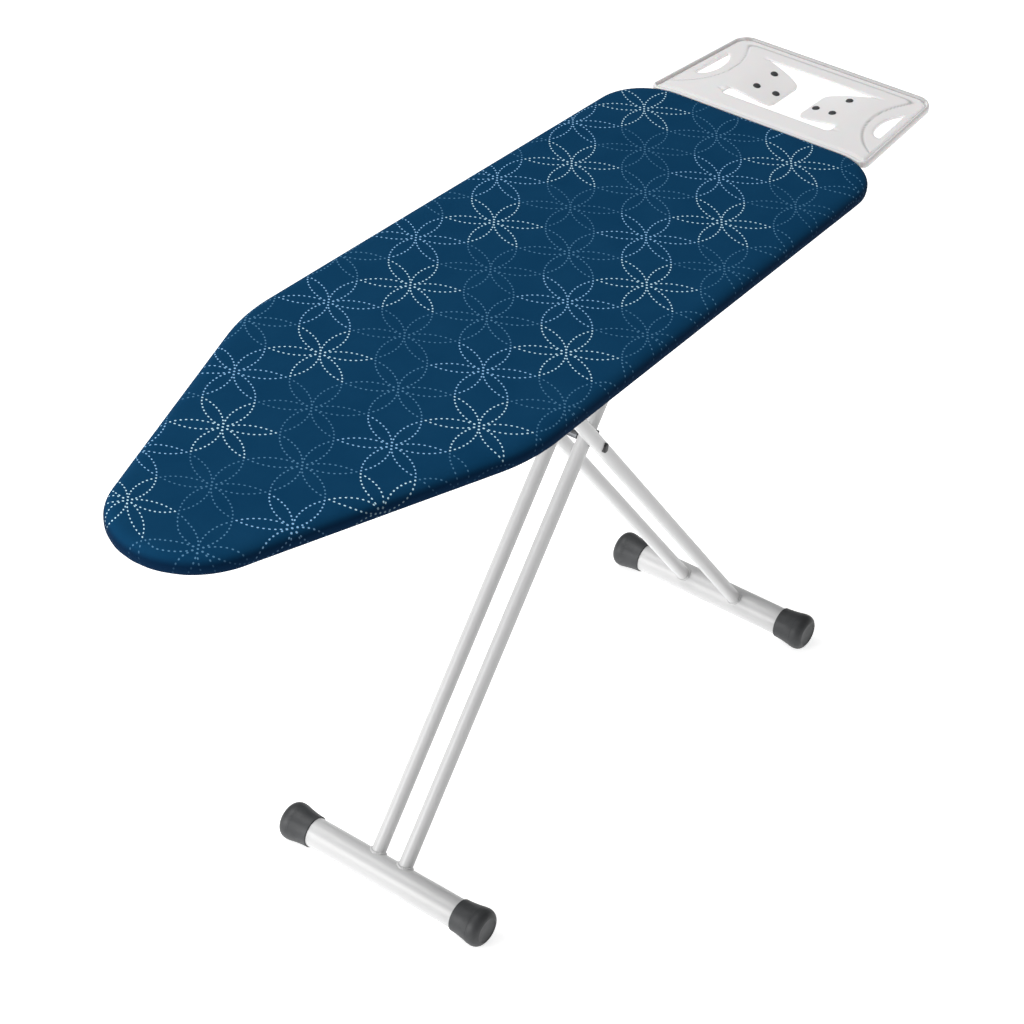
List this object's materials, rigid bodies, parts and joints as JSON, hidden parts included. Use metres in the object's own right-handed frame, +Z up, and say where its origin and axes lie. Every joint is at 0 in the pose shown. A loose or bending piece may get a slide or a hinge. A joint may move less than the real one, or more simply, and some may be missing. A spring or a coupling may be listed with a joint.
{
  "type": "ironing board",
  "caption": "Folding ironing board with a fitted blue cotton cover, crossed white tube legs, black rubber feet and a white plastic iron rest.",
  "frame": {"origin": "on the floor, under the middle of the object's bounding box", "axes": "+X from the board's nose to the iron rest, +Y across the board to the side that carries the release handle, +Z up"},
  "size_m": [1.396, 0.4382, 0.82],
  "materials": {
    "cover_fabric": "woven cotton with a printed stitch pattern, matte",
    "pad_foam": "open felted foam, matte",
    "white_paint": "powder coat, satin to gloss",
    "plated_steel": "zinc plated",
    "black_rubber": "moulded, matte",
    "black_plastic": "moulded, fine grain",
    "white_plastic": "moulded, satin"
  },
  "bodies": {
    "board": {"board_panel": "white_paint", "board_rim": "white_paint", "cotton_cover": "cover_fabric", "foam_pad": "pad_foam", "panel_brace_front": "white_paint", "panel_brace_rear": "white_paint", "guide_rail_left": "white_paint", "guide_rail_right": "white_paint", "lock_rod": "plated_steel", "lock_rod_bracket_front": "white_paint", "lock_rod_bracket_rear": "white_paint", "leg_bracket": "white_paint", "leg_hinge_pin": "plated_steel", "leg_hinge_cap_left": "black_plastic", "leg_hinge_cap_right": "black_plastic", "iron_rest_tray": "white_plastic", "rest_arm_left": "white_paint", "rest_arm_right": "white_paint", "rest_pad_left_rear": "black_rubber", "rest_pad_left_front": "black_rubber", "rest_pad_left_tip": "black_rubber", "rest_pad_right_rear": "black_rubber", "rest_pad_right_front": "black_rubber", "rest_pad_right_tip": "black_rubber", "rest_screw_left_1": "plated_steel", "rest_screw_left_2": "plated_steel", "rest_screw_right_1": "plated_steel", "rest_screw_right_2": "plated_steel"},
    "front_legs": {"front_leg_tube_left": "white_paint", "front_leg_tube_right": "white_paint", "front_leg_plug_left": "black_plastic", "front_leg_plug_right": "black_plastic", "front_foot_tube": "white_paint", "front_foot_cap_left": "black_rubber", "front_foot_cap_right": "black_rubber", "pivot_sleeve": "plated_steel"},
    "rear_legs": {"rear_leg_tube_left": "white_paint", "rear_leg_tube_right": "white_paint", "rear_leg_plug_left": "black_plastic", "rear_leg_plug_right": "black_plastic", "rear_foot_tube": "white_paint", "rear_foot_cap_left": "black_rubber", "rear_foot_cap_right": "black_rubber", "pivot_bolt": "plated_steel", "pivot_cap_left": "black_plastic", "pivot_cap_right": "black_plastic", "pivot_spacer_left": "black_plastic", "pivot_spacer_right": "black_plastic"},
    "slide_carriage": {"slide_rod": "plated_steel", "slide_shoe_left": "black_plastic", "slide_shoe_right": "black_plastic", "release_spring": "plated_steel"},
    "release_lever": {"grip_plate": "plated_steel", "release_rod": "plated_steel", "release_handle": "black_plastic"}
  },
  "joints": [
    {"name": "fold", "type": "hinge", "parent": "board", "child": "front_legs", "pos_m": [0.29043, 0, 0.79], "axis": [0, 1, 0], "range_deg": [-12, 50]},
    {"name": "leg_crossing", "type": "hinge", "parent": "front_legs", "child": "rear_legs", "pos_m": [0.092, 0, 0.5305], "axis": [0, 1, 0], "range_deg": [-100, 24]},
    {"name": "carriage_level", "type": "hinge", "parent": "rear_legs", "child": "slide_carriage", "pos_m": [-0.10643, 0, 0.79], "axis": [0, 1, 0], "range_deg": [-12, 50]},
    {"name": "lever_squeeze", "type": "hinge", "parent": "slide_carriage", "child": "release_lever", "pos_m": [-0.10643, 0, 0.79], "axis": [0, 1, 0], "range_deg": [0, 8], "stiffness_Nm_per_rad": 0.6, "springref_deg": -9.74}
  ],
  "couplings": [
    {"joint": "leg_crossing", "follows": "fold", "ratio": -2},
    {"joint": "carriage_level", "follows": "fold", "ratio": 1}
  ]
}
